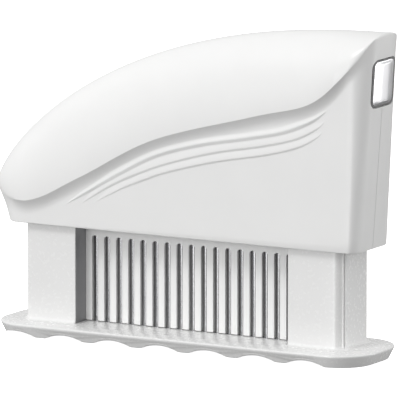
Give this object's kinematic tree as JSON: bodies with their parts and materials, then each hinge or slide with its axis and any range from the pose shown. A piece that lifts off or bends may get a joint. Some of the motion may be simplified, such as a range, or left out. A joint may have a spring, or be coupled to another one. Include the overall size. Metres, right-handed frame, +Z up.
{
  "type": "blade meat tenderizer",
  "caption": "Hand press with a hollow palm grip that slides down two columns and pushes a row of steel blades through slots in a base plate; springs lift it again.",
  "frame": {"origin": "middle of the whole tool's width and depth, on the flat crests of the base plate's underside", "axes": "+X along the blade row towards the tall heel of the grip, +Y to the rear, +Z up along the press stroke"},
  "size_m": [0.147, 0.037, 0.1112],
  "materials": {
    "guard_white": "satin white moulding",
    "handle_white": "satin white moulding",
    "strip_steel": "satin",
    "spring_steel": "drawn wire",
    "blade_steel": "polished, ground points",
    "carrier_plastic": "matte",
    "pin_steel": "satin",
    "screw_steel": "zinc plated",
    "seat_plastic": "matte",
    "washer_rubber": "matte",
    "badge_chrome": "satin chrome"
  },
  "bodies": {
    "guard": {"guard_frame": "guard_white", "blade_guide": "guard_white", "left_guide_strip": "strip_steel", "right_guide_strip": "strip_steel", "left_spring": "spring_steel", "right_spring": "spring_steel"},
    "handle": {"handle_front_shell": "handle_white", "handle_rear_shell": "handle_white", "shell_screws": "screw_steel", "end_badge": "badge_chrome", "carrier_front": "carrier_plastic", "carrier_rear": "carrier_plastic", "blade_pin": "pin_steel", "carrier_rivets": "pin_steel", "blade_01": "blade_steel", "blade_02": "blade_steel", "blade_03": "blade_steel", "blade_04": "blade_steel", "blade_05": "blade_steel", "blade_06": "blade_steel", "blade_07": "blade_steel", "blade_08": "blade_steel", "blade_09": "blade_steel", "blade_10": "blade_steel", "blade_11": "blade_steel", "blade_12": "blade_steel", "blade_13": "blade_steel", "blade_14": "blade_steel", "blade_15": "blade_steel", "blade_16": "blade_steel", "blade_17": "blade_steel", "left_spring_seat": "seat_plastic", "right_spring_seat": "seat_plastic", "guide_nuts": "screw_steel", "left_guide_screw": "screw_steel", "right_guide_screw": "screw_steel", "left_stop_washer": "washer_rubber", "right_stop_washer": "washer_rubber"}
  },
  "joints": [
    {"name": "press", "type": "slide", "parent": "guard", "child": "handle", "axis": [0, 0, 1], "range_m": [-0.02, 0], "stiffness_N_per_m": 500, "springref_m": 0.012, "deforming": ["left_spring", "right_spring"]}
  ]
}
